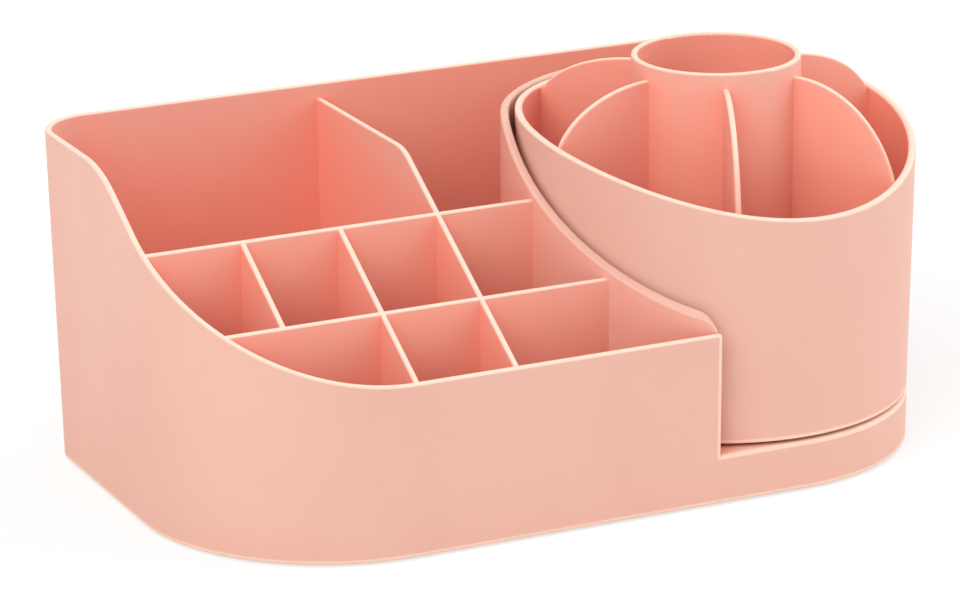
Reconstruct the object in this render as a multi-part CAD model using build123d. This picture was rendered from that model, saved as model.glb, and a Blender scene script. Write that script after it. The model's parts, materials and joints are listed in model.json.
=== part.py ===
"""Rotating makeup organizer: a moulded tray of open compartments with a turning drum at its right end.

Millimetres. +X runs to the right, +Y to the back, +Z up. The origin lies on the surface that the feet
stand on, under the middle of the whole object.
"""
import os
from math import acos, cos, degrees, radians, sin, sqrt, tan

from build123d import *

# Whole object seen from above, out to the drum's rim
OVERALL_LENGTH = 274.8
OVERALL_DEPTH = 156.89

# Tray, heights measured from its base edge
BACK_HEIGHT = 113.3
FRONT_HEIGHT = 57.2
FRONT_SLOPE = 31.0
RIM_BEND_RADIUS = 45.0
TRAY_WALL = 2.2
TRAY_FLOOR = 2.2
TRAY_DRAFT = 1.175
FRONT_LEFT_RADIUS = 65.8
BACK_LEFT_RADIUS = 17.0
BACK_RIGHT_SHARE = 0.533
RIGHT_WALL_TURN = 55.0
WALL_END_REACH = 32.0
WALL_END_RADIUS = 5.0
WALL_END_ROUND = 1.0
RIM_ROUND = 0.85
BASE_ROUND = 0.8

# Dividers, cross walls measured from the front face and long walls from the left face
DIVIDER = 2.0
REAR_CROSS_WALL = 58.2
FRONT_CROSS_WALL = 25.9
LEFT_LONG_WALL = 33.1
CENTRE_LONG_WALL = 66.8
RIGHT_LONG_WALL = 101.2
RIGHT_LONG_WALL_DROP = 5.0
RIGHT_LONG_WALL_BEND = 17.0

# Wall around the drum, its thickness measured at the rim and its rim from the tray's sloping rim
WELL_WALL = 2.8
WELL_WALL_DRAFT = 0.3
WELL_RIM_LIFT = 2.6
WELL_RIM_ROUND = 0.95
WELL_WALL_INSET = 0.3

# Deck that carries the drum
DECK_HEIGHT = 16.5
DECK_THICKNESS = 2.2
DECK_LIP = 0.2
DECK_ROUND = 1.4
DECK_RIB = 1.8
DECK_RIB_COUNT = 8
DECK_RIB_CLEARANCE = 2.5

# Drum
DRUM_RADIUS = 64.6
DRUM_DRAFT = 1.175
DRUM_WALL = 2.6
DRUM_FLOOR = 2.4
DRUM_DECK_GAP = 1.2
DRUM_WELL_GAP = 2.0
DRUM_TURN = 8.5
DRUM_RIM_PEAK = 114.05
DRUM_RIM_ARC_RADIUS = 274.0
DRUM_RIM_PEAK_REACH = 43.4
DRUM_RIM_ROUND = 0.95
DRUM_FOOT_ROUND = 0.6
TUBE_RADIUS = 28.1
TUBE_WALL = 2.2
TUBE_HEIGHT = 131.9
FIN = 2.0
FIN_COUNT = 6
FIN_TOP = 126.9
FIN_RIM_DROP = 2.0
FIN_ROUND = 0.85

# Ball race under the drum
RACE_RADIUS = 42.0
RACE_WIDTH = 12.0
RACE_THICKNESS = 2.2
RACE_FENCE_WALL = 1.4
RACE_FENCE_HEIGHT = 1.2
RACE_FENCE_CLEARANCE = 0.2
BALL_RADIUS = 2.5
BALL_COUNT = 16
BALL_TRACK_CLEARANCE = 0.3
BALL_POCKET_CLEARANCE = 0.2
CAGE_WIDTH = 9.0
CAGE_THICKNESS = 2.0
CAGE_RACE_GAP = 0.5

# Pivot at the drum's axis
POST_RADIUS = 6.0
POST_ROOT_RADIUS = 8.0
BUSH_WALL = 1.8
BUSH_POST_CLEARANCE = 0.05
BUSH_FLANGE_RADIUS = 11.0
BUSH_FLANGE = 1.5
HUB_RADIUS = 15.5
HUB_BUSH_CLEARANCE = 0.08
HUB_FLANGE_CLEARANCE = 0.4
HUB_COLLAR_WALL = 1.6
HUB_COLLAR_HEIGHT = 2.6
PIVOT_END_PLAY = 0.3
THRUST_WASHER_RADIUS = 12.0
THRUST_WASHER = 0.8
STEEL_WASHER_RADIUS = 10.5
STEEL_WASHER = 1.0
SCREW_RADIUS = 2.0
SCREW_LENGTH = 13.0
SCREW_HOLE_CLEARANCE = 0.25
SCREW_PILOT_CLEARANCE = 0.05
SCREW_HEAD_RADIUS = 4.2
SCREW_HEAD_HEIGHT = 2.8
SCREW_HEAD_ROUND = 1.1
SCREW_RECESS_WIDTH = 1.0
SCREW_RECESS_LENGTH = 4.6
SCREW_RECESS_DEPTH = 1.5
CAP_WALL = 1.5
CAP_COLLAR_CLEARANCE = 0.1
CAP_HEAD_CLEARANCE = 0.8
CAP_ROUND = 1.2

# Rubber feet
FOOT_RADIUS = 6.0
FOOT_PROUD = 1.0
FOOT_SEAT = 1.0
FOOT_ROUND = 0.5
FOOT_SEAT_CLEARANCE = 0.15
FOOT_BOSS_WALL = 2.0
FOOT_EDGE_INSET = 12.0
DECK_FOOT_RADIUS = 52.0
DECK_FOOT_ANGLES = {"foot_front_right": -32.0, "foot_front_centre": -118.0}

# Cutters run past the faces that they cut by this much
OVERRUN = 5.0

# Levels
base_z = FOOT_PROUD
rim_z = base_z + BACK_HEIGHT
front_rim_z = base_z + FRONT_HEIGHT
floor_z = base_z + TRAY_FLOOR
deck_z = base_z + DECK_HEIGHT
deck_under_z = deck_z - DECK_THICKNESS
drum_z = deck_z + DRUM_DECK_GAP
cage_z = deck_z + RACE_THICKNESS + CAGE_RACE_GAP
ball_z = cage_z + CAGE_THICKNESS / 2
upper_race_z = cage_z + CAGE_THICKNESS + CAGE_RACE_GAP
drum_floor_z = upper_race_z + RACE_THICKNESS
drum_floor_top_z = drum_floor_z + DRUM_FLOOR
post_top_z = drum_floor_top_z + PIVOT_END_PLAY
steel_washer_z = post_top_z + THRUST_WASHER
screw_head_z = steel_washer_z + STEEL_WASHER
screw_top_z = screw_head_z + SCREW_HEAD_HEIGHT
tube_top_z = base_z + TUBE_HEIGHT


def drum_rim_height(reach):
    """Height of the drum's rim at a distance behind the drum's axis."""
    sink = DRUM_RIM_ARC_RADIUS - sqrt(DRUM_RIM_ARC_RADIUS ** 2 - (reach - DRUM_RIM_PEAK_REACH) ** 2)
    return base_z + DRUM_RIM_PEAK - sink


# Plan of the base edge
lean = tan(radians(TRAY_DRAFT))
slope = tan(radians(FRONT_SLOPE))
drum_flare = tan(radians(DRUM_DRAFT))
drum_right = DRUM_RADIUS + (drum_rim_height(0) - drum_z) * drum_flare
drum_front = DRUM_RADIUS + (drum_rim_height(-DRUM_RADIUS) - drum_z) * drum_flare
skirt_radius = DRUM_RADIUS + DECK_LIP - DECK_HEIGHT * lean
left_x = BACK_HEIGHT * lean - OVERALL_LENGTH / 2
back_y = OVERALL_DEPTH / 2 - BACK_HEIGHT * lean
drum_x = OVERALL_LENGTH / 2 - drum_right
drum_y = drum_front - OVERALL_DEPTH / 2
front_y = drum_y - skirt_radius
right_wall_x = drum_x + skirt_radius * cos(radians(RIGHT_WALL_TURN))
right_wall_length = back_y - drum_y - skirt_radius * sin(radians(RIGHT_WALL_TURN))
back_right_radius = right_wall_length * BACK_RIGHT_SHARE
well_radius = DRUM_RADIUS + DRUM_WELL_GAP
wall_end_x = drum_x - WALL_END_REACH
front_rim_y = front_y - FRONT_HEIGHT * lean
rear_cross_y = front_y + REAR_CROSS_WALL
front_cross_y = front_y + FRONT_CROSS_WALL
bush_radius = POST_RADIUS + BUSH_POST_CLEARANCE + BUSH_WALL
screw_hole_radius = SCREW_RADIUS + SCREW_HOLE_CLEARANCE

ON_TOP = (Align.CENTER, Align.CENTER, Align.MIN)
drum_axis = Pos(drum_x, drum_y, 0)


def block(low, high):
    """A box between two corners."""
    size = [b - a for a, b in zip(low, high)]
    return Pos(*low) * Box(*size, align=(Align.MIN, Align.MIN, Align.MIN))


def disc(radius, low_z, high_z):
    """A round disc on the Z axis."""
    return Pos(0, 0, low_z) * Cylinder(radius, high_z - low_z, align=ON_TOP)


def ring(outer, inner, low_z, high_z):
    """A flat ring on the Z axis."""
    return disc(outer, low_z, high_z) - disc(inner, low_z - OVERRUN, high_z + OVERRUN)


def flared(radius, flare, low_z, high_z):
    """A disc whose radius grows with height by the tangent given in flare."""
    return Pos(0, 0, low_z) * Cone(radius, radius + flare * (high_z - low_z), high_z - low_z, align=ON_TOP)


def outline(grow):
    """The base edge seen from above, moved outwards by grow."""
    left, front = left_x - grow, front_y - grow
    back, right = back_y + grow, right_wall_x + grow
    front_left, back_left = FRONT_LEFT_RADIUS + grow, BACK_LEFT_RADIUS + grow
    back_right, round_end = back_right_radius + grow, skirt_radius + grow
    turn = acos((right - drum_x) / round_end)
    meet = (right, drum_y + round_end * sin(turn))
    edges = [
        Line((left + front_left, front), (drum_x, front)),
        CenterArc((drum_x, drum_y), round_end, -90, 90 + degrees(turn)),
        Line(meet, (right, back - back_right)),
        CenterArc((right - back_right, back - back_right), back_right, 0, 90),
        Line((right - back_right, back), (left + back_left, back)),
        CenterArc((left + back_left, back - back_left), back_left, 90, 90),
        Line((left, back - back_left), (left, front + front_left)),
        CenterArc((left + front_left, front + front_left), front_left, 180, 90),
    ]
    return make_face(edges)


def drafted(grow, low_z, high_z):
    """The outline as a solid that leans outwards with height, moved outwards by grow."""
    sections = [Pos(0, 0, z) * outline(grow + (z - base_z) * lean) for z in (low_z, high_z)]
    return loft(sections, ruled=True)


def above_rim(level_z, bend_radius, lift=0.0):
    """What lies above a rim that is level at the back and slopes to the front, the slope raised by lift."""
    slope_z = front_rim_z + lift
    bend_y = front_rim_y + (level_z - slope_z) / slope
    low_y, high_y = front_rim_y - OVERRUN, back_y + OVERRUN + BACK_HEIGHT * lean
    top_z = rim_z + OVERRUN
    corners = [
        (low_y, slope_z - OVERRUN * slope),
        (bend_y, level_z),
        (high_y, level_z),
        (high_y, top_z + OVERRUN),
        (low_y, top_z + OVERRUN),
    ]
    face = make_face(Polyline(*corners, close=True))
    bend = face.vertices().sort_by_distance((bend_y, level_z))[0]
    return extrude(Plane.YZ * fillet(bend, bend_radius), amount=OVERALL_LENGTH, both=True)


def above(level_z):
    """Everything above a level."""
    far, deep = OVERALL_LENGTH, OVERALL_DEPTH
    return block((-far, -deep, level_z), (far, deep, rim_z + OVERRUN))


def well(grow):
    """The space that the drum turns in, moved outwards by grow, from the tray's floor up."""
    radius = well_radius + grow - (deck_z - floor_z) * lean
    return drum_axis * flared(radius, lean, floor_z, rim_z + OVERRUN)


def well_bulk():
    """The wall around the drum as a solid piece, wider towards its foot."""
    spread = tan(radians(WELL_WALL_DRAFT))
    radius = well_radius + (rim_z - deck_z) * lean + WELL_WALL + (rim_z - floor_z) * spread
    return drum_axis * flared(radius, -spread, floor_z, rim_z + OVERRUN)


def open_front():
    """The space at the front where the drum stands free."""
    far = OVERALL_LENGTH
    return block((wall_end_x, -OVERALL_DEPTH, floor_z), (far, drum_y, rim_z + OVERRUN))


def wall_end_round():
    """What is rounded off the right end of the wall around the drum, where its end face meets its rim."""
    tilt, high_z = radians(FRONT_SLOPE), front_rim_z + WELL_RIM_LIFT
    across = Plane((wall_end_x, front_rim_y, high_z), x_dir=(1, 0, 0), z_dir=(0, -cos(tilt), -sin(tilt)))
    reach = WALL_END_RADIUS + OVERRUN
    corner = Pos(OVERRUN, OVERRUN) * Rectangle(reach, reach, align=(Align.MAX, Align.MAX))
    corner -= Pos(-WALL_END_RADIUS, -WALL_END_RADIUS) * Circle(WALL_END_RADIUS)
    return extrude(across * corner, amount=well_radius, both=True)


def with_round_rims(solid, radius, right_x):
    """The solid with the edges of its rims rounded, apart from those at right_x or beyond."""
    low_z, facing_up = (deck_z + front_rim_z) / 2, cos(radians(2 * FRONT_SLOPE))
    rims = [face for face in solid.faces() if face.center().Z > low_z]
    rims = [face for face in rims if face.normal_at(face.center()).Z > facing_up]
    edges = [edge for face in rims for edge in face.edges()]
    outer = [edge for edge in edges if sum(edge.is_same(other) for other in edges) == 1]
    return fillet([edge for edge in outer if edge.bounding_box().min.X < right_x - DIVIDER / 2], radius)


def well_wall():
    """The wall around the drum above its deck, with its raised rim rounded."""
    wall = (well_bulk() - well(0)) & above(deck_under_z) & drafted(-WELL_WALL_INSET, base_z, rim_z)
    wall -= open_front() + above_rim(rim_z, RIM_BEND_RADIUS, WELL_RIM_LIFT) + wall_end_round()
    return with_round_rims(wall, WELL_RIM_ROUND, wall_end_x)


def long_wall(place, low_y, high_y):
    """A divider that runs from front to back."""
    x = left_x + place
    return block((x - DIVIDER / 2, low_y, base_z), (x + DIVIDER / 2, high_y, rim_z))


def cross_wall(y):
    """A divider that runs from the left wall to the wall around the drum."""
    return block((-OVERALL_LENGTH / 2, y - DIVIDER / 2, base_z), (drum_x, y + DIVIDER / 2, rim_z))


def race_fence(low_z, high_z):
    """The two low rings that hold a race from inside and outside."""
    room = RACE_WIDTH / 2 + RACE_FENCE_CLEARANCE
    outer, inner = RACE_RADIUS + room, RACE_RADIUS - room
    fence = ring(outer + RACE_FENCE_WALL, outer, low_z, high_z)
    return fence + ring(inner, inner - RACE_FENCE_WALL, low_z, high_z)


def foot_places():
    """Where each rubber foot stands, by name."""
    inset = FOOT_EDGE_INSET
    diagonal_share = sqrt(1 / 2)
    corner = FRONT_LEFT_RADIUS * (1 - diagonal_share) + inset * diagonal_share
    places = {
        "foot_front_left": (left_x + corner, front_y + corner),
        "foot_back_left": (left_x + inset, back_y - inset),
        "foot_back_right": (right_wall_x - back_right_radius, back_y - inset),
    }
    for name, angle in DECK_FOOT_ANGLES.items():
        turn = radians(angle)
        places[name] = (drum_x + DECK_FOOT_RADIUS * cos(turn), drum_y + DECK_FOOT_RADIUS * sin(turn))
    return places


def deck_works():
    """Ribs, pivot post and foot bosses under the deck, the post and the race fence on it."""
    rib_z = base_z + DECK_RIB_CLEARANCE
    rib = block((0, -DECK_RIB / 2, rib_z), (well_radius, DECK_RIB / 2, deck_z - DECK_THICKNESS / 2))
    works = disc(POST_ROOT_RADIUS, rib_z, deck_z - DECK_THICKNESS / 2)
    for index in range(DECK_RIB_COUNT):
        works += Rot(Z=index * 360 / DECK_RIB_COUNT) * rib
    works = drum_axis * works & drafted(-TRAY_WALL / 2, base_z, deck_z)
    boss_radius = FOOT_RADIUS + FOOT_BOSS_WALL
    for name in DECK_FOOT_ANGLES:
        x, y = foot_places()[name]
        works += Pos(x, y, 0) * disc(boss_radius, base_z, deck_z - DECK_THICKNESS / 2)
    works += drum_axis * disc(POST_RADIUS, deck_under_z, post_top_z)
    return works + drum_axis * race_fence(deck_z - DECK_THICKNESS / 2, deck_z + RACE_FENCE_HEIGHT)


def with_round_edges(shell):
    """The shell with its rims, the deck's outer edge and the front wall's end rounded."""
    deck_edge = shell.edges().sort_by_distance((drum_x + skirt_radius, drum_y, deck_z))[0]
    shell = fillet(deck_edge, DECK_ROUND)
    wall_end = shell.edges().sort_by_distance((wall_end_x, front_y, front_rim_z - OVERRUN))[0]
    shell = fillet(wall_end, WALL_END_ROUND)
    return with_round_rims(shell, RIM_ROUND, OVERALL_LENGTH)


def tray_shell():
    """The tray in one moulding: walls, floor, dividers, the wall around the drum and the drum's deck."""
    bulk = drafted(0, base_z, rim_z)
    bulk = fillet(bulk.edges().group_by(Axis.Z)[0], BASE_ROUND)
    body = bulk - ((well(0) + open_front()) & above(deck_z))
    pocket = drafted(-TRAY_WALL, floor_z, rim_z + OVERRUN) - (well_bulk() + open_front() - above(deck_z))
    dividers = cross_wall(rear_cross_y) + cross_wall(front_cross_y)
    dividers += long_wall(LEFT_LONG_WALL, front_cross_y, rear_cross_y)
    dividers += long_wall(CENTRE_LONG_WALL, front_y, rear_cross_y)
    tall = long_wall(RIGHT_LONG_WALL, front_y, back_y)
    tall -= above_rim(rim_z - RIGHT_LONG_WALL_DROP, RIGHT_LONG_WALL_BEND)
    shell = body - pocket + (dividers + tall - well(WELL_WALL / 2) & body)
    shell = with_round_edges(shell - above_rim(rim_z, RIM_BEND_RADIUS)) + well_wall()

    low_z = base_z - OVERRUN
    hollow = extrude(Pos(0, 0, low_z) * outline(-TRAY_WALL), deck_under_z - low_z)
    shell -= hollow & drum_axis * disc(well_radius - DECK_HEIGHT * lean, low_z, deck_under_z)
    shell += deck_works()
    for x, y in foot_places().values():
        seat = disc(FOOT_RADIUS + FOOT_SEAT_CLEARANCE, low_z, base_z + FOOT_SEAT)
        shell -= Pos(x, y, 0) * seat
    pilot_z = screw_head_z - SCREW_LENGTH - SCREW_HOLE_CLEARANCE
    shell -= drum_axis * disc(SCREW_RADIUS + SCREW_PILOT_CLEARANCE, pilot_z, post_top_z + OVERRUN)
    return shell


def under_drum_rim():
    """What lies under the arched surface that trims the drum's wall."""
    far = DRUM_RADIUS + OVERRUN
    ends = [(-far, drum_rim_height(-far)), (far, drum_rim_height(far))]
    crown = ThreePointArc(ends[0], (DRUM_RIM_PEAK_REACH, drum_rim_height(DRUM_RIM_PEAK_REACH)), ends[1])
    sides = Polyline(ends[1], (far, 0), (-far, 0), ends[0])
    return extrude(Plane.YZ * make_face([crown, sides]), amount=far, both=True)


def fin(angle):
    """One fin of the drum, between the tube's wall and the drum's wall, with a rounded arched top."""
    rim_radius = DRUM_RADIUS + (base_z + DRUM_RIM_PEAK - drum_z) * drum_flare
    inside = rim_radius - DRUM_WALL
    into_tube, into_wall = TUBE_RADIUS - TUBE_WALL / 2, rim_radius - DRUM_WALL / 2
    low_z, top_z = drum_floor_z + DRUM_FLOOR / 2, base_z + FIN_TOP
    meet_z = drum_rim_height(inside * sin(radians(angle))) - FIN_RIM_DROP
    fall = sqrt(1 - ((inside - into_tube) / (into_wall - into_tube)) ** 2)
    end_z = (meet_z - fall * top_z) / (1 - fall)
    arch = EllipticalCenterArc((into_tube, end_z), into_wall - into_tube, top_z - end_z, 0, arc_size=90)
    sides = Polyline((into_tube, top_z), (into_tube, low_z), (into_wall, low_z), (into_wall, end_z))
    plate = extrude(Plane.XZ * Pos(0, 0, -FIN / 2) * make_face([arch, sides]), amount=FIN)
    top = plate.faces().filter_by(GeomType.PLANE, reverse=True)[0]
    long_edges = top.edges().filter_by(GeomType.ELLIPSE)
    plate = Rot(Z=angle) * fillet(long_edges, FIN_ROUND)
    return plate & flared(DRUM_RADIUS - DRUM_WALL / 2, drum_flare, drum_z, tube_top_z)


def drum_wall():
    """The drum's outer wall, its arched rim and its lower edge rounded."""
    peak_z = base_z + DRUM_RIM_PEAK + OVERRUN
    wall = flared(DRUM_RADIUS, drum_flare, drum_z, peak_z)
    wall -= flared(DRUM_RADIUS - DRUM_WALL, drum_flare, drum_z, peak_z)
    wall &= under_drum_rim()
    rim = wall.faces().sort_by(Axis.Z)[-1]
    wall = fillet(rim.edges(), DRUM_RIM_ROUND)
    outer_foot = wall.edges().group_by(Axis.Z)[0].sort_by(SortBy.LENGTH)[-1]
    return fillet(outer_foot, DRUM_FOOT_ROUND)


def brush_tube():
    """The tube in the middle of the drum, its rim rounded."""
    tube = ring(TUBE_RADIUS, TUBE_RADIUS - TUBE_WALL, drum_floor_z + DRUM_FLOOR / 2, tube_top_z)
    return fillet(tube.edges().group_by(Axis.Z)[-1], DRUM_RIM_ROUND)


def rotating_drum():
    """The drum in one moulding: wall, floor, brush tube, fins and hub."""
    drum = drum_wall() + disc(DRUM_RADIUS - DRUM_WALL / 2, drum_floor_z, drum_floor_top_z)
    drum += brush_tube()
    for index in range(FIN_COUNT):
        drum += fin(index * 360 / FIN_COUNT)
    hub_z = deck_z + BUSH_FLANGE + HUB_FLANGE_CLEARANCE
    drum += disc(HUB_RADIUS, hub_z, drum_floor_top_z)
    collar_top_z = drum_floor_top_z + HUB_COLLAR_HEIGHT
    drum += ring(HUB_RADIUS, HUB_RADIUS - HUB_COLLAR_WALL, drum_floor_z + DRUM_FLOOR / 2, collar_top_z)
    drum += race_fence(drum_floor_z - RACE_FENCE_HEIGHT, drum_floor_z + DRUM_FLOOR / 2)
    drum -= disc(bush_radius + HUB_BUSH_CLEARANCE, hub_z - OVERRUN, drum_floor_top_z + OVERRUN)
    return drum_axis * Rot(Z=DRUM_TURN) * drum


def race(low_z):
    """A flat ring with a round track for the balls."""
    outer, inner = RACE_RADIUS + RACE_WIDTH / 2, RACE_RADIUS - RACE_WIDTH / 2
    track = Pos(0, 0, ball_z) * Torus(RACE_RADIUS, BALL_RADIUS + BALL_TRACK_CLEARANCE)
    return drum_axis * (ring(outer, inner, low_z, low_z + RACE_THICKNESS) - track)


def around_race(shape):
    """A copy of a shape at each ball's place."""
    step = 360 / BALL_COUNT
    return [drum_axis * Rot(Z=index * step) * Pos(RACE_RADIUS, 0, 0) * shape for index in range(BALL_COUNT)]


def ball_cage():
    """The ring that keeps the balls apart."""
    outer, inner = RACE_RADIUS + CAGE_WIDTH / 2, RACE_RADIUS - CAGE_WIDTH / 2
    cage = drum_axis * ring(outer, inner, cage_z, cage_z + CAGE_THICKNESS)
    hole = disc(BALL_RADIUS + BALL_POCKET_CLEARANCE, cage_z - OVERRUN, cage_z + CAGE_THICKNESS + OVERRUN)
    for pocket in around_race(hole):
        cage -= pocket
    return cage


def bearing_balls():
    """The steel balls, each a solid of its own."""
    return Compound(children=around_race(Pos(0, 0, ball_z) * Sphere(BALL_RADIUS)))


def pivot_bush():
    """The flanged sleeve on the post that the drum's hub turns on."""
    bush = disc(bush_radius, deck_z, post_top_z) + disc(BUSH_FLANGE_RADIUS, deck_z, deck_z + BUSH_FLANGE)
    bore_radius = POST_RADIUS + BUSH_POST_CLEARANCE
    return drum_axis * (bush - disc(bore_radius, deck_z - OVERRUN, post_top_z + OVERRUN))


def thrust_washer():
    """The slippery washer that holds the hub down."""
    return drum_axis * ring(THRUST_WASHER_RADIUS, screw_hole_radius, post_top_z, steel_washer_z)


def steel_washer():
    """The washer under the screw's head."""
    return drum_axis * ring(STEEL_WASHER_RADIUS, screw_hole_radius, steel_washer_z, screw_head_z)


def pivot_screw():
    """The pan-head screw with a cross recess that holds the pivot together."""
    head = disc(SCREW_HEAD_RADIUS, screw_head_z, screw_top_z)
    head = fillet(head.edges().group_by(Axis.Z)[-1], SCREW_HEAD_ROUND)
    screw = head + disc(SCREW_RADIUS, screw_head_z - SCREW_LENGTH, screw_head_z)
    half_length, half_width = SCREW_RECESS_LENGTH / 2, SCREW_RECESS_WIDTH / 2
    low_corner = (-half_length, -half_width, screw_top_z - SCREW_RECESS_DEPTH)
    slot = block(low_corner, (half_length, half_width, screw_top_z + OVERRUN))
    return drum_axis * (screw - slot - Rot(Z=90) * slot)


def hub_cap():
    """The cap inside the brush tube that hides the screw."""
    inside = HUB_RADIUS + CAP_COLLAR_CLEARANCE
    roof_z = screw_top_z + CAP_HEAD_CLEARANCE
    cap = disc(inside + CAP_WALL, drum_floor_top_z, roof_z + CAP_WALL)
    cap = fillet(cap.edges().group_by(Axis.Z)[-1], CAP_ROUND)
    return drum_axis * (cap - disc(inside, drum_floor_top_z - OVERRUN, roof_z))


def foot(x, y):
    """A rubber foot, seated in the base."""
    pad = disc(FOOT_RADIUS, 0, FOOT_PROUD + FOOT_SEAT)
    return Pos(x, y, 0) * fillet(pad.edges().group_by(Axis.Z)[0], FOOT_ROUND)


def main():
    os.makedirs("parts", exist_ok=True)
    nodes = {
        "tray_shell": tray_shell(),
        "rotating_drum": rotating_drum(),
        "lower_race": race(deck_z),
        "upper_race": race(upper_race_z),
        "ball_cage": ball_cage(),
        "bearing_balls": bearing_balls(),
        "pivot_bush": pivot_bush(),
        "thrust_washer": thrust_washer(),
        "steel_washer": steel_washer(),
        "pivot_screw": pivot_screw(),
        "hub_cap": hub_cap(),
    }
    for name, (x, y) in foot_places().items():
        nodes[name] = foot(x, y)
    for name, shape in nodes.items():
        export_step(shape, f"parts/{name}.step")


if __name__ == "__main__":
    main()
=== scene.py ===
"""Finishes, stage and camera for a rotating makeup organizer: a moulded tray of compartments
with a drum that turns in a well at its right end. Everything is in metres, in the CAD frame."""

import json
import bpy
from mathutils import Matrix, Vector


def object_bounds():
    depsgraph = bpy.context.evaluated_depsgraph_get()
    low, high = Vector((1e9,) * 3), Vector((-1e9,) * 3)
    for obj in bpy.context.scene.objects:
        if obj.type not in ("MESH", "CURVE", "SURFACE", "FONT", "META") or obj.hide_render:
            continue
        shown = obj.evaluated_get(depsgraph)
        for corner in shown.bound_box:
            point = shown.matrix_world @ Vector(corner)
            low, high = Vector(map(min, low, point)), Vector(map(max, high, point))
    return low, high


bl_info = {
    "name": "Rotating makeup organizer",
    "version": (1, 0, 0),
    "blender": (4, 5, 0),
    "location": "View3D > Sidebar > Organizer",
    "description": "Finishes, stage and camera for a moulded desk organizer with a turning drum",
    "category": "Object",
}

from math import cos, radians, sin

import bpy
from mathutils import Matrix, Vector

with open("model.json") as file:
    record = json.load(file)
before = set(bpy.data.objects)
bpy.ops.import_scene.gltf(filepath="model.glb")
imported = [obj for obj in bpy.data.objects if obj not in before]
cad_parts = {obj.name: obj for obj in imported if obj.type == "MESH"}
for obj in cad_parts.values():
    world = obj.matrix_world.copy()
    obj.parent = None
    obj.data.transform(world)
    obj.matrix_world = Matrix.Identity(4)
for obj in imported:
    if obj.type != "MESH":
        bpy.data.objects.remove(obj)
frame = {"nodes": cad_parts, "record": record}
CAD_BOX = [list(corner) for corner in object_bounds()]
DRUM_AXIS = frame["record"]["behaviour"]["joints"][0]["pos_m"]

MOULDINGS = ("tray_shell", "rotating_drum", "hub_cap")
RACES = ("lower_race", "upper_race", "ball_cage")
NYLON_PIECES = ("pivot_bush", "thrust_washer")
PLATED_PIECES = ("steel_washer", "pivot_screw")
FEET = (
    "foot_front_left", "foot_back_left", "foot_back_right", "foot_front_right", "foot_front_centre",
)

# Salmon pink finish: how much each mask counts
# Share of the painted highlight along the outer edges
EDGE_HIGHLIGHT = 0.75
# How much the painted bounce light and shade in the recesses gives way on the wall around the drum
BOUNCE_LOSS_AT_WELL = 0.45
# How much the painted rim highlight gives way on the wall around the drum
RIM_HIGHLIGHT_LOSS_AT_WELL = 0.8
FRONT_WALL_DEPTH = 0.006
GLOSS_PATCH = 24.0
FLOW_STRETCH = (1.0, 1.0, 0.45)

# What the plastics and steels of the bearing and the pivot have in common
PLASTIC = {"spread": 0.12, "darkest": 0.9}
STEEL = {"spread": 0.15, "darkest": 0.8, "flow_size": 0.004, "Metallic": 1.0}

# Stage
WHITE = (1.0, 1.0, 1.0, 1.0)
FLOOR_DARKEST = 0.99
KEY_FROM = (-0.66, -0.42, 0.70)
FILL_FROM = (0.86, -0.10, 0.45)
SENSOR_WIDTH = 36.0
NEAREST, FARTHEST = 0.05, 50.0


def slot_colour(slot):
    """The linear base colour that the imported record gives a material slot."""
    for material in frame["record"]["materials"]:
        if material["slot"] == slot:
            return tuple(material["base_color"][:3])
    raise KeyError(f"the record has no material slot {slot}")


def colour_property(name, description, default):
    """A colour that the user can change in the sidebar."""
    return bpy.props.FloatVectorProperty(
        name=name, description=description, default=default, subtype="COLOR", min=0, max=1)


def length_property(name, description, default):
    """A length in metres that the user can change in the sidebar."""
    return bpy.props.FloatProperty(
        name=name, description=description, default=default, unit="LENGTH", precision=5, min=0)


def share_property(name, description, default):
    """A share between none and all."""
    return bpy.props.FloatProperty(
        name=name, description=description, default=default, subtype="FACTOR", min=0, max=1)


def angle_property(name, description, degrees):
    """An angle, given here in degrees."""
    return bpy.props.FloatProperty(
        name=name, description=description, default=radians(degrees), subtype="ANGLE")


def amount_property(name, description, default):
    """A plain amount, none or more."""
    return bpy.props.FloatProperty(name=name, description=description, default=default, min=0)


class OrganizerMoulding(bpy.types.PropertyGroup):
    """Salmon pink plastic of the tray and the drum"""

    colour: colour_property("Colour", "Plain wall colour", (0.79, 0.475, 0.39))
    flow_colour: colour_property("Flow colour", "Colour of the faint flow marks", (0.775, 0.455, 0.37))
    # Deeper, redder colour of the painted bounce light and shade in the compartments
    painted_bounce_colour: colour_property("Recess colour", "Deeper colour in the compartments", (0.93, 0.39, 0.30))
    # Paler colour of the painted highlights on the rims and the outer edges
    painted_highlight_colour: colour_property("Rim colour", "Paler colour of the rounded rims", (0.96, 0.70, 0.57))
    roughness: share_property("Roughness", "Roughness of the satin surface", 0.52)
    roughness_spread: share_property("Roughness spread", "How far the roughness differs", 0.10)
    specular: share_property("Specular level", "Strength of the reflections", 0.14)
    # Height above which upward faces get the painted rim highlight
    highlight_rim_level: length_property("Rim level", "Height above which upward edges count as rims", 0.040)
    grain_size: length_property("Grain size", "Width of one bump of the moulded texture", 0.0007)
    grain_depth: length_property("Grain depth", "Depth of the moulded texture", 0.000012)
    flow_size: length_property("Flow size", "Width of one flow mark", 0.045)
    # Reach of the occlusion that places the painted bounce light and shade
    bounce_reach: length_property("Recess reach", "How far off a wall still closes in a place", 0.090)
    # Width and places of the painted highlight lines along the outer edges
    edge_width: length_property("Edge width", "Width of the paler outer edges", 0.0012)
    base_level: length_property("Base level", "Height of the base edge", 0.0015)
    deck_level: length_property("Deck level", "Height of the deck under the drum", 0.0170)
    foot_level: length_property("Foot level", "Height of the drum's lower edge", 0.0192)
    wall_end: length_property("Wall end", "Where the front wall ends, to the right of the middle", 0.0383)
    well_inner: length_property("Well inner radius", "Inside of the wall around the drum", 0.0666)
    well_outer: length_property("Well outer radius", "Outside of the wall around the drum", 0.0723)
    deck_reach: length_property("Deck reach", "From the drum's axis to the deck's front corner", 0.0728)


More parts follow.
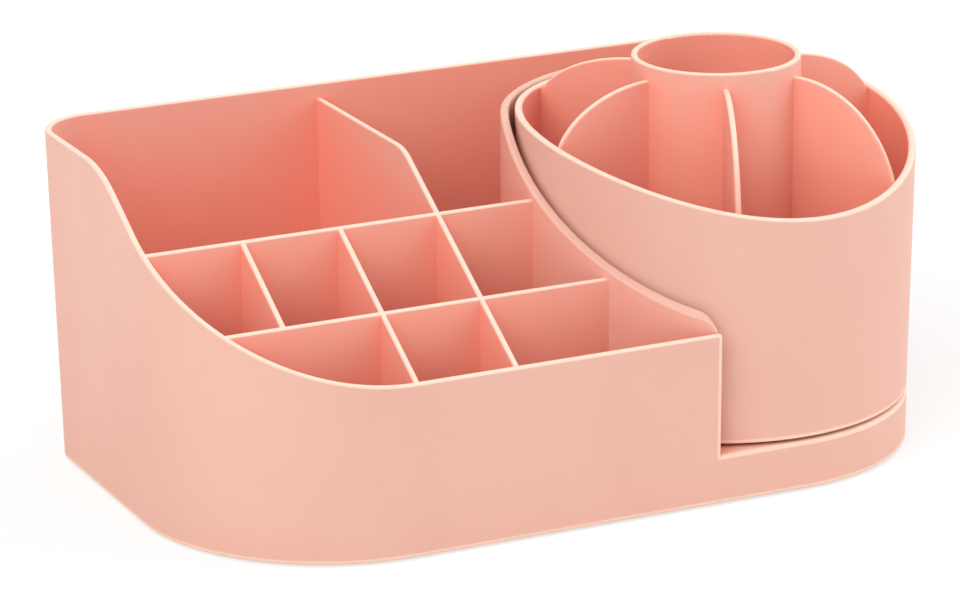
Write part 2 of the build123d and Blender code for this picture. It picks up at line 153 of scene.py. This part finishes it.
class OrganizerHardware(bpy.types.PropertyGroup):
    """Finishes of the bearing, the pivot and the feet"""

    acetal: colour_property("Acetal", "Races and ball cage", slot_colour("acetal"))
    nylon: colour_property("Nylon", "Bush and thrust washer", slot_colour("nylon"))
    plating: colour_property("Plating", "Screw and washer", slot_colour("plated_steel"))
    balls: colour_property("Ball steel", "Bearing balls", slot_colour("bearing_steel"))
    rubber: colour_property("Rubber", "Feet", slot_colour("foot_rubber"))


class OrganizerStage(bpy.types.PropertyGroup):
    """Floor, light and camera"""

    floor_colour: colour_property("Floor colour", "Plain pale floor", (0.93, 0.93, 0.93))
    floor_white: share_property("Floor white", "How far the floor goes to white in view", 0.68)
    floor_reach: length_property("Floor reach", "Half the width of the floor", 6.0)
    sky: share_property("Sky", "Strength of the even light from all round", 0.74)
    key: amount_property("Key light", "Soft light from the upper left", 1.25)
    key_colour: colour_property("Key colour", "Colour of the key light", (1.0, 0.94, 0.89))
    key_softness: angle_property("Key softness", "Width of the key light in the sky", 50)
    fill: amount_property("Fill light", "Soft light from the right", 1.35)
    fill_colour: colour_property("Fill colour", "Colour of the fill light", (0.95, 0.98, 1.0))
    fill_softness: angle_property("Fill softness", "Width of the fill light in the sky", 60)
    camera_place: bpy.props.FloatVectorProperty(
        name="Camera place", description="Where the camera stands",
        default=(-0.62502, -1.30594, 0.51621), subtype="TRANSLATION", unit="LENGTH", precision=5)
    camera_turn: angle_property("Camera turn", "Heading, clockwise from straight back", 25.207)
    camera_tilt: angle_property("Camera tilt", "How far it looks down", 17.672)
    camera_roll: angle_property("Camera roll", "Roll about its own axis", -0.618)
    camera_lens: amount_property("Lens", "Focal length on a 36 mm sensor, in millimetres", 172.08)


def feed(tree, socket, value):
    """Links the socket to another one, or sets it to a plain value."""
    if isinstance(value, bpy.types.NodeSocket):
        tree.links.new(value, socket)
    else:
        socket.default_value = value


def add_node(tree, kind, inputs=None, **settings):
    """A new node with its settings, and its inputs set to values or linked to sockets."""
    node = tree.nodes.new(kind)
    for name, value in settings.items():
        setattr(node, name, value)
    for name, value in (inputs or {}).items():
        feed(tree, node.inputs[name], value)
    return node


def ramp(tree, value, low, high):
    """A socket that eases from 0 to 1 as value goes from low to high."""
    return add_node(
        tree, "ShaderNodeMapRange", {"Value": value, "From Min": low, "From Max": high},
        interpolation_type="SMOOTHSTEP").outputs["Result"]


def calculated(tree, operation, *values):
    """A socket with the result of one operation."""
    return add_node(tree, "ShaderNodeMath", dict(enumerate(values)), operation=operation).outputs[0]


def times(tree, first, second):
    """A socket with the product of two values."""
    return calculated(tree, "MULTIPLY", first, second)


def larger(tree, first, second):
    """A socket with the larger of two values."""
    return calculated(tree, "MAXIMUM", first, second)


def over(tree, value, level):
    """A socket that is 1 where the value is over the level."""
    return calculated(tree, "GREATER_THAN", value, level)


def under(tree, value, level):
    """A socket that is 1 where the value is under the level."""
    return calculated(tree, "LESS_THAN", value, level)


def less(tree, share, mask):
    """A socket that goes from 1 down by share where the mask is full."""
    return calculated(tree, "MULTIPLY_ADD", mask, -share, 1.0)


def near(tree, value, level, width):
    """A socket that is 1 at a level and fades to 0 at width from it."""
    off = calculated(tree, "ABSOLUTE", calculated(tree, "SUBTRACT", value, level))
    return ramp(tree, calculated(tree, "DIVIDE", off, width), low=1.0, high=0.4)


def mixed(tree, share, plain, other):
    """A socket with the colour between plain and other."""
    node = add_node(tree, "ShaderNodeMix", data_type="RGBA")
    colour_inputs = [socket for socket in node.inputs if socket.type == "RGBA"]
    for socket, value in zip([node.inputs[0], *colour_inputs], (share, plain, other)):
        feed(tree, socket, value)
    return next(socket for socket in node.outputs if socket.type == "RGBA")


def opaque(colour):
    """A colour with full alpha."""
    return (*colour, 1.0)


def darkened(colour, share):
    """A colour with each channel at a share of its value."""
    return tuple(channel * share for channel in colour)


def place_in_piece(tree):
    """A socket with the place on the piece, which turns with it."""
    return add_node(tree, "ShaderNodeTexCoord").outputs["Object"]


def coordinates(tree, vector):
    """The X, Y and Z sockets of a vector."""
    return add_node(tree, "ShaderNodeSeparateXYZ", {0: vector}).outputs


def stretched(tree, vector, scales):
    """A socket with the vector, each of its coordinates times a scale."""
    return add_node(
        tree, "ShaderNodeVectorMath", {0: vector, 1: scales}, operation="MULTIPLY").outputs[0]


def noise(tree, place, size, **inputs):
    """A noise over the surface whose features are about size wide."""
    scale = calculated(tree, "DIVIDE", 1.0, size)
    return add_node(
        tree, "ShaderNodeTexNoise", {"Vector": place, "Scale": scale, **inputs}).outputs["Fac"]


def node_group(name, inputs, outputs):
    """Turns a function that wires a group into one that gives the group, built at its first use."""
    def around(wire):
        def group():
            if name in bpy.data.node_groups:
                return bpy.data.node_groups[name]
            tree = bpy.data.node_groups.new(name, "ShaderNodeTree")
            for side, sockets in (("INPUT", inputs), ("OUTPUT", outputs)):
                for socket in sockets:
                    tree.interface.new_socket(name=socket, in_out=side, socket_type="NodeSocketFloat")
            given = tree.nodes.new("NodeGroupInput").outputs
            wire(tree, given, tree.nodes.new("NodeGroupOutput").inputs)
            return tree
        return group
    return around


@node_group("moulded_grain", ("Grain Size", "Roughness", "Spread"), ("Height", "Roughness"))
def grain_group(tree, given, result):
    """Moulded texture: a fine height and a soft unevenness of the gloss."""
    place = place_in_piece(tree)
    feed(tree, result["Height"], noise(tree, place, given["Grain Size"], Detail=2.0, Roughness=0.6))
    patches = noise(tree, place, times(tree, given["Grain Size"], GLOSS_PATCH), Detail=3.0)
    shift = times(tree, calculated(tree, "SUBTRACT", patches, 0.5), given["Spread"])
    feed(tree, result["Roughness"], calculated(tree, "ADD", given["Roughness"], shift))


@node_group("flow_marks", ("Flow Size",), ("Mask",))
def flow_group(tree, given, result):
    """Flow marks: a faint mask stretched along the way the plastic ran into the mould."""
    place = stretched(tree, place_in_piece(tree), FLOW_STRETCH)
    marks = noise(tree, place, given["Flow Size"], Detail=2.0, Distortion=0.6)
    feed(tree, result["Mask"], ramp(tree, marks, low=0.35, high=0.75))


@node_group("painted_rim_highlight_mask", ("Rim Level",), ("Mask",))
def painted_rim_highlight_group(tree, given, result):
    """Painted rim highlights: a mask of the surfaces that face upward above a level."""
    surface = add_node(tree, "ShaderNodeNewGeometry").outputs
    upward = ramp(tree, coordinates(tree, surface["Normal"])["Z"], low=0.25, high=0.75)
    high_up = over(tree, coordinates(tree, surface["Position"])["Z"], given["Rim Level"])
    feed(tree, result["Mask"], times(tree, upward, high_up))


@node_group("painted_bounce_mask", ("Reach",), ("Mask",))
def painted_bounce_group(tree, given, result):
    """Painted bounce light and shade: a mask of the places that the piece's own walls close in."""
    openness = add_node(
        tree, "ShaderNodeAmbientOcclusion", {"Distance": given["Reach"]},
        samples=8, only_local=True).outputs["AO"]
    feed(tree, result["Mask"], ramp(tree, openness, low=0.98, high=0.74))


@node_group("painted_edge_highlight_mask", ("Base", "Deck", "Foot", "Front", "End", "Width"), ("Tray", "Drum"))
def painted_edge_highlight_group(tree, given, result):
    """Painted edge highlights: a mask of the base edge and the front wall's end, and one of the deck's edge
    and the drum's foot."""
    place = coordinates(tree, add_node(tree, "ShaderNodeNewGeometry").outputs["Position"])
    base, deck, foot = (
        near(tree, place["Z"], given[level], given["Width"]) for level in ("Base", "Deck", "Foot"))
    at_end = near(tree, place["X"], given["End"], given["Width"])
    in_front = under(tree, place["Y"], given["Front"])
    end = times(tree, times(tree, at_end, in_front), over(tree, place["Z"], given["Deck"]))
    feed(tree, result["Tray"], larger(tree, base, end))
    feed(tree, result["Drum"], larger(tree, deck, foot))


@node_group("well_mask", ("Axis X", "Axis Y", "Inner", "Outer", "Deck"), ("Wall", "Drum"))
def well_group(tree, given, result):
    """Places about the drum's axis: a mask of the ring of the wall around it, and one of the drum
    and the deck inside, which reaches further in front."""
    place = place_in_piece(tree)
    axis = add_node(tree, "ShaderNodeCombineXYZ", {"X": given["Axis X"], "Y": given["Axis Y"]}).outputs[0]
    reach = add_node(
        tree, "ShaderNodeVectorMath", {0: stretched(tree, place, (1.0, 1.0, 0.0)), 1: axis},
        operation="DISTANCE").outputs["Value"]
    outside = over(tree, reach, given["Inner"])
    in_front = under(tree, coordinates(tree, place)["Y"], given["Axis Y"])
    front_deck = times(tree, in_front, under(tree, reach, given["Deck"]))
    feed(tree, result["Wall"], times(tree, outside, under(tree, reach, given["Outer"])))
    feed(tree, result["Drum"], larger(tree, less(tree, 1.0, outside), front_deck))


def start_material(name):
    """An empty node material and its tree."""
    material = bpy.data.materials.new(name)
    material.use_nodes = True
    material.node_tree.nodes.clear()
    return material, material.node_tree


def end_material(tree, colour, roughness, height, depth, **constants):
    """Principled surface with a bump, wired to the output; constants go on the shader's own sockets."""
    bump = add_node(
        tree, "ShaderNodeBump", {"Height": height, "Distance": depth, "Strength": 1.0}).outputs["Normal"]
    shader = add_node(
        tree, "ShaderNodeBsdfPrincipled",
        {"Base Color": colour, "Roughness": roughness, "Normal": bump,
         **{name.replace("_", " "): value for name, value in constants.items()}})
    add_node(tree, "ShaderNodeOutputMaterial", {"Surface": shader.outputs["BSDF"]})


def place_group(tree, group, **values):
    """A group in a material with its own values; gives its outputs."""
    inputs = {name.replace("_", " "): value for name, value in values.items()}
    return add_node(tree, "ShaderNodeGroup", inputs, node_tree=group).outputs


def moulding_material(settings):
    """Satin salmon pink plastic with flow marks, a fine grain, painted bounce light and shade that make the
    recesses deeper and redder, and painted highlights that make the rims and edges paler.
    """
    material, tree = start_material("salmon_moulding")
    grain = place_group(
        tree, grain_group(), Grain_Size=settings.grain_size, Roughness=settings.roughness,
        Spread=settings.roughness_spread)
    flow = place_group(tree, flow_group(), Flow_Size=settings.flow_size)
    rim_highlight = place_group(tree, painted_rim_highlight_group(), Rim_Level=settings.highlight_rim_level)
    painted_bounce = place_group(tree, painted_bounce_group(), Reach=settings.bounce_reach)
    edge = place_group(
        tree, painted_edge_highlight_group(), Base=settings.base_level, Deck=settings.deck_level, Foot=settings.foot_level,
        Front=CAD_BOX[0][1] + FRONT_WALL_DEPTH, End=settings.wall_end, Width=settings.edge_width)
    well = place_group(
        tree, well_group(), Axis_X=DRUM_AXIS[0], Axis_Y=DRUM_AXIS[1], Inner=settings.well_inner,
        Outer=settings.well_outer, Deck=settings.deck_reach)
    # Painted bounce light and shade: the recesses go to a deeper, redder colour, less so on the wall around
    # the drum
    bounce_share = times(tree, painted_bounce["Mask"], less(tree, BOUNCE_LOSS_AT_WELL, well["Wall"]))
    # Painted highlight: upward faces of the rims go paler, much less so on the wall around the drum
    rim_highlight_share = times(tree, rim_highlight["Mask"], less(tree, RIM_HIGHLIGHT_LOSS_AT_WELL, well["Wall"]))
    # Painted highlight: the base edge, the front wall's end, the deck's edge and the drum's foot go paler,
    # outside the recesses
    edges = larger(tree, edge["Tray"], times(tree, edge["Drum"], well["Drum"]))
    edge_highlight_share = times(tree, times(tree, edges, EDGE_HIGHLIGHT), less(tree, 1.0, painted_bounce["Mask"]))
    outside = mixed(tree, flow["Mask"], opaque(settings.colour), opaque(settings.flow_colour))
    wall = mixed(tree, bounce_share, outside, opaque(settings.painted_bounce_colour))
    edge_highlighted = mixed(tree, edge_highlight_share, wall, opaque(settings.painted_highlight_colour))
    colour = mixed(tree, rim_highlight_share, edge_highlighted, opaque(settings.painted_highlight_colour))
    end_material(
        tree, colour, grain["Roughness"], grain["Height"], settings.grain_depth,
        Specular_IOR_Level=settings.specular)
    return material


def toned_material(
        name, colour, roughness, spread, grain_size, grain_depth, flow_size, darkest, **constants):
    """A plastic, rubber or steel with a grain and a tone that is a little darker in patches."""
    material, tree = start_material(name)
    grain = place_group(tree, grain_group(), Grain_Size=grain_size, Roughness=roughness, Spread=spread)
    flow = place_group(tree, flow_group(), Flow_Size=flow_size)
    tone = mixed(tree, flow["Mask"], opaque(colour), opaque(darkened(colour, darkest)))
    end_material(tree, tone, grain["Roughness"], grain["Height"], grain_depth, **constants)
    return material


def dress(names, material):
    """Gives the CAD nodes the material."""
    for name in names:
        node = frame["nodes"][name]
        if not node.material_slots:
            node.data.materials.append(None)
        for place in node.material_slots:
            place.link = "OBJECT"
            place.material = material


class ORGANIZER_OT_mouldings(bpy.types.Operator):
    """Gives the tray, the drum and the hub cap their salmon pink finish"""

    bl_idname = "organizer.mouldings"
    bl_label = "Tray and drum"

    def execute(self, context):
        dress(MOULDINGS, moulding_material(context.scene.organizer_moulding))
        return {"FINISHED"}


class ORGANIZER_OT_races(bpy.types.Operator):
    """Gives the two races and the ball cage their white acetal"""

    bl_idname = "organizer.races"
    bl_label = "Races and ball cage"

    def execute(self, context):
        acetal = toned_material(
            "white_acetal", context.scene.organizer_hardware.acetal, roughness=0.32,
            grain_size=0.0004, grain_depth=0.000004, flow_size=0.012, **PLASTIC)
        dress(RACES, acetal)
        return {"FINISHED"}


class ORGANIZER_OT_balls(bpy.types.Operator):
    """Gives the bearing balls their polished steel"""

    bl_idname = "organizer.balls"
    bl_label = "Bearing balls"

    def execute(self, context):
        steel = toned_material(
            "ball_steel", context.scene.organizer_hardware.balls, roughness=0.14,
            grain_size=0.0003, grain_depth=0.000001, **STEEL)
        dress(("bearing_balls",), steel)
        return {"FINISHED"}


class ORGANIZER_OT_pivot(bpy.types.Operator):
    """Gives the bush and thrust washer their nylon, and the screw and its washer their plating"""

    bl_idname = "organizer.pivot"
    bl_label = "Pivot"

    def execute(self, context):
        settings = context.scene.organizer_hardware
        nylon = toned_material(
            "natural_nylon", settings.nylon, roughness=0.42,
            grain_size=0.0005, grain_depth=0.000006, flow_size=0.010, **PLASTIC)
        dress(NYLON_PIECES, nylon)
        plating = toned_material(
            "zinc_plating", settings.plating, roughness=0.34,
            grain_size=0.0003, grain_depth=0.000003, **STEEL)
        dress(PLATED_PIECES, plating)
        return {"FINISHED"}


class ORGANIZER_OT_feet(bpy.types.Operator):
    """Gives the five feet their grey rubber"""

    bl_idname = "organizer.feet"
    bl_label = "Feet"

    def execute(self, context):
        rubber = toned_material(
            "grey_rubber", context.scene.organizer_hardware.rubber, roughness=0.78,
            grain_size=0.0006, grain_depth=0.00002, flow_size=0.006, **PLASTIC)
        dress(FEET, rubber)
        return {"FINISHED"}


def seen_directly(tree):
    """A socket that is 1 for rays that come from the camera, a mirror or glass."""
    path = add_node(tree, "ShaderNodeLightPath").outputs
    either = larger(tree, path["Is Camera Ray"], path["Is Glossy Ray"])
    return larger(tree, either, path["Is Transmission Ray"])


def floor_material(settings):
    """Pale matte floor that goes to white in view and keeps a soft shadow."""
    material, tree = start_material("pale_floor")
    grain = place_group(tree, grain_group(), Grain_Size=0.002, Roughness=0.9, Spread=0.05)
    flow = place_group(tree, flow_group(), Flow_Size=0.5)
    colour = settings.floor_colour
    tone = mixed(tree, flow["Mask"], opaque(colour), opaque(darkened(colour, FLOOR_DARKEST)))
    matte = add_node(tree, "ShaderNodeBsdfDiffuse", {"Color": tone, "Roughness": grain["Roughness"]})
    white = add_node(tree, "ShaderNodeEmission", {"Color": WHITE, "Strength": 1.0})
    share = times(tree, seen_directly(tree), settings.floor_white)
    floor = add_node(
        tree, "ShaderNodeMixShader", {0: share, 1: matte.outputs[0], 2: white.outputs[0]})
    add_node(tree, "ShaderNodeOutputMaterial", {"Surface": floor.outputs[0]})
    return material


def add_floor(settings):
    """A plain floor under the feet."""
    reach, level = settings.floor_reach, CAD_BOX[0][2]
    mesh = bpy.data.meshes.new("floor")
    corners = [(x * reach, y * reach, level) for x, y in ((-1, -1), (1, -1), (1, 1), (-1, 1))]
    mesh.from_pydata(corners, [], [(0, 1, 2, 3)])
    mesh.materials.append(floor_material(settings))
    floor = bpy.data.objects.new("floor", mesh)
    bpy.context.scene.collection.objects.link(floor)


def add_sun(name, strength, colour, comes_from, softness):
    """A soft lamp whose light comes from a direction."""
    lamp = bpy.data.lights.new(name, "SUN")
    lamp.energy = strength
    lamp.color = colour
    lamp.angle = softness
    sun = bpy.data.objects.new(name, lamp)
    sun.rotation_mode = "QUATERNION"
    sun.rotation_quaternion = (-Vector(comes_from)).to_track_quat("-Z", "Y")
    bpy.context.scene.collection.objects.link(sun)


def add_sky(settings):
    """Even light from all round, which is plain white where it is seen."""
    world = bpy.data.worlds.new("studio")
    world.use_nodes = True
    tree = world.node_tree
    tree.nodes.clear()
    lit = add_node(tree, "ShaderNodeBackground", {"Color": WHITE, "Strength": settings.sky})
    seen = add_node(tree, "ShaderNodeBackground", {"Color": WHITE, "Strength": 1.0})
    sky = add_node(
        tree, "ShaderNodeMixShader", {0: seen_directly(tree), 1: lit.outputs[0], 2: seen.outputs[0]})
    add_node(tree, "ShaderNodeOutputWorld", {"Surface": sky.outputs[0]})
    bpy.context.scene.world = world


def add_camera(settings):
    """The camera at the photograph's viewing angle."""
    turn, tilt, roll = settings.camera_turn, settings.camera_tilt, settings.camera_roll
    ahead = Vector((sin(turn) * cos(tilt), cos(turn) * cos(tilt), -sin(tilt)))
    level_right = Vector((cos(turn), -sin(turn), 0.0))
    level_up = level_right.cross(ahead)
    right = level_right * cos(roll) + level_up * sin(roll)
    up = level_up * cos(roll) - level_right * sin(roll)
    data = bpy.data.cameras.new("camera")
    data.sensor_width = SENSOR_WIDTH
    data.lens = settings.camera_lens
    data.clip_start, data.clip_end = NEAREST, FARTHEST
    camera = bpy.data.objects.new("camera", data)
    place = Matrix.Translation(Vector(settings.camera_place))
    camera.matrix_world = place @ Matrix((right, up, -ahead)).transposed().to_4x4()
    bpy.context.scene.collection.objects.link(camera)
    bpy.context.scene.camera = camera


class ORGANIZER_OT_stage(bpy.types.Operator):
    """Makes the floor, the light and the camera"""

    bl_idname = "organizer.stage"
    bl_label = "Stage"

    def execute(self, context):
        settings = context.scene.organizer_stage
        add_floor(settings)
        add_sky(settings)
        add_sun("key_light", settings.key, settings.key_colour, KEY_FROM, settings.key_softness)
        add_sun("fill_light", settings.fill, settings.fill_colour, FILL_FROM, settings.fill_softness)
        add_camera(settings)
        context.scene.view_settings.view_transform = "Standard"
        return {"FINISHED"}


OPERATORS = (
    ORGANIZER_OT_mouldings,
    ORGANIZER_OT_races,
    ORGANIZER_OT_balls,
    ORGANIZER_OT_pivot,
    ORGANIZER_OT_feet,
    ORGANIZER_OT_stage,
)
SETTINGS = {
    "organizer_moulding": OrganizerMoulding,
    "organizer_hardware": OrganizerHardware,
    "organizer_stage": OrganizerStage,
}


class ORGANIZER_PT_panel(bpy.types.Panel):
    """Settings and steps of the organizer"""

    bl_label = "Organizer"
    bl_idname = "ORGANIZER_PT_panel"
    bl_space_type = "VIEW_3D"
    bl_region_type = "UI"
    bl_category = "Organizer"

    def draw(self, context):
        for holder, group in SETTINGS.items():
            box = self.layout.box()
            for name in group.__annotations__:
                box.prop(getattr(context.scene, holder), name)
        for operator in OPERATORS:
            self.layout.operator(operator.bl_idname)


CLASSES = (*SETTINGS.values(), *OPERATORS, ORGANIZER_PT_panel)


def register():
    """Makes the settings, the operators and the panel known."""
    for item in CLASSES:
        bpy.utils.register_class(item)
    for holder, group in SETTINGS.items():
        setattr(bpy.types.Scene, holder, bpy.props.PointerProperty(type=group))


def unregister():
    """Takes them away again."""
    for holder in SETTINGS:
        delattr(bpy.types.Scene, holder)
    for item in reversed(CLASSES):
        bpy.utils.unregister_class(item)


def main():
    """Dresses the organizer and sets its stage."""
    register()
    bpy.ops.organizer.mouldings()
    bpy.ops.organizer.races()
    bpy.ops.organizer.balls()
    bpy.ops.organizer.pivot()
    bpy.ops.organizer.feet()
    bpy.ops.organizer.stage()


if __name__ == "__main__":
    main()
